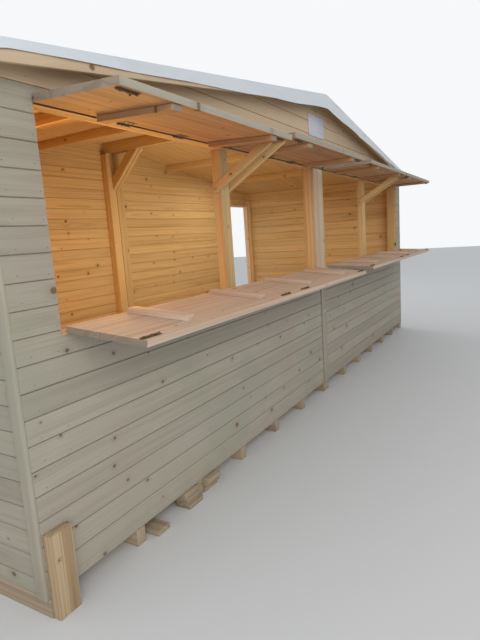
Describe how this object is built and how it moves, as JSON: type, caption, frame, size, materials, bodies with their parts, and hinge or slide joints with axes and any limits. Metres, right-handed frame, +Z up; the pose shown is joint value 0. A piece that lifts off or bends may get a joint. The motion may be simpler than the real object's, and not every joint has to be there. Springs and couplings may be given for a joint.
{
  "type": "wooden market stall",
  "caption": "Boarded timber market stall with a low gable roof, serving openings under raised flaps, fold-down counters and a staff doorway.",
  "frame": {"origin": "on the ground, in the middle of the stall's overall box in plan", "axes": "+X along the front to the right as seen by a customer, +Y from the serving front to the back, +Z up"},
  "size_m": [6.508, 3.0584, 2.636],
  "materials": {
    "wall_boards": "raw planed spruce, weathered pale grey-beige",
    "floor_timber": "raw sawn softwood",
    "frame_timber": "raw planed spruce, warm",
    "roof_boards": "raw planed spruce, warm",
    "flap_boards": "raw planed spruce, greyed edges",
    "counter_boards": "raw planed spruce, pale and pinkish",
    "fresh_plank": "fresh sawn yellowish softwood",
    "roof_sheet": "white coated tarpaulin",
    "zinc_steel": "zinc plated and dulled",
    "plain_plate": "plain pale plate"
  },
  "bodies": {
    "stall": {"left_wall": "wall_boards", "right_wall": "wall_boards", "back_wall_left": "wall_boards", "back_wall_right": "wall_boards", "back_wall_over_door": "wall_boards", "back_wall_corner": "wall_boards", "front_wall_left": "wall_boards", "front_wall_right": "wall_boards", "front_piers": "wall_boards", "front_gable": "wall_boards", "centre_facings": "wall_boards", "corner_trims": "wall_boards", "seam_boards": "wall_boards", "staff_door": "wall_boards", "floor_boards": "floor_timber", "floor_joists": "floor_timber", "corner_posts": "frame_timber", "jamb_posts": "frame_timber", "centre_posts": "frame_timber", "mid_posts": "frame_timber", "headers": "frame_timber", "sills": "frame_timber", "eave_beams": "frame_timber", "ridge_beams": "frame_timber", "purlins": "frame_timber", "knee_braces": "frame_timber", "rake_boards": "frame_timber", "door_frame": "frame_timber", "roof_boards": "roof_boards", "corner_plank": "fresh_plank", "packing_planks": "fresh_plank", "roof_sheet": "roof_sheet", "flap_hinges": "zinc_steel", "counter_hinges": "zinc_steel", "strut_bolts": "zinc_steel", "gable_plate": "plain_plate"},
    "flap_left_outer": {"flap_left_outer": "flap_boards"},
    "flap_left_inner": {"flap_left_inner": "flap_boards"},
    "flap_right_inner": {"flap_right_inner": "flap_boards"},
    "flap_right_outer": {"flap_right_outer": "flap_boards"},
    "strut_left_outer": {"strut_left_outer": "frame_timber"},
    "strut_left_inner": {"strut_left_inner": "frame_timber"},
    "strut_right_inner": {"strut_right_inner": "frame_timber"},
    "strut_right_outer": {"strut_right_outer": "frame_timber"},
    "counter_left": {"counter_left": "counter_boards", "counter_battens_left": "counter_boards"},
    "counter_right": {"counter_right": "counter_boards", "counter_battens_right": "counter_boards"}
  },
  "joints": [
    {"name": "flap_left_outer_hinge", "type": "hinge", "parent": "stall", "child": "flap_left_outer", "pos_m": [0, -1.08584, 2.027], "axis": [1, 0, 0], "range_deg": [0, 86.8]},
    {"name": "flap_left_inner_hinge", "type": "hinge", "parent": "stall", "child": "flap_left_inner", "pos_m": [0, -1.08584, 2.027], "axis": [1, 0, 0], "range_deg": [0, 90]},
    {"name": "flap_right_inner_hinge", "type": "hinge", "parent": "stall", "child": "flap_right_inner", "pos_m": [0, -1.08584, 2.027], "axis": [1, 0, 0], "range_deg": [0, 90]},
    {"name": "flap_right_outer_hinge", "type": "hinge", "parent": "stall", "child": "flap_right_outer", "pos_m": [0, -1.08584, 2.027], "axis": [1, 0, 0], "range_deg": [0, 90]},
    {"name": "strut_left_outer_pivot", "type": "hinge", "parent": "stall", "child": "strut_left_outer", "pos_m": [0, -1.01184, 1.787], "axis": [1, 0, 0], "range_deg": [0, 121.5]},
    {"name": "strut_left_inner_pivot", "type": "hinge", "parent": "stall", "child": "strut_left_inner", "pos_m": [0, -1.01184, 1.787], "axis": [1, 0, 0], "range_deg": [0, 121.5]},
    {"name": "strut_right_inner_pivot", "type": "hinge", "parent": "stall", "child": "strut_right_inner", "pos_m": [0, -1.01184, 1.787], "axis": [1, 0, 0], "range_deg": [0, 121.5]},
    {"name": "strut_right_outer_pivot", "type": "hinge", "parent": "stall", "child": "strut_right_outer", "pos_m": [0, -1.01184, 1.787], "axis": [1, 0, 0], "range_deg": [0, 121.5]},
    {"name": "counter_left_hinge", "type": "hinge", "parent": "stall", "child": "counter_left", "pos_m": [0, -1.08584, 1.138], "axis": [-1, 0, 0], "range_deg": [0, 95.5]},
    {"name": "counter_right_hinge", "type": "hinge", "parent": "stall", "child": "counter_right", "pos_m": [0, -1.08584, 1.138], "axis": [-1, 0, 0], "range_deg": [0, 93]}
  ],
  "couplings": [
    {"joint": "strut_left_outer_pivot", "follows": "flap_left_outer_hinge", "ratio": 1.3996},
    {"joint": "strut_left_inner_pivot", "follows": "flap_left_inner_hinge", "ratio": 1.3499},
    {"joint": "strut_right_inner_pivot", "follows": "flap_right_inner_hinge", "ratio": 1.3499},
    {"joint": "strut_right_outer_pivot", "follows": "flap_right_outer_hinge", "ratio": 1.3499}
  ]
}
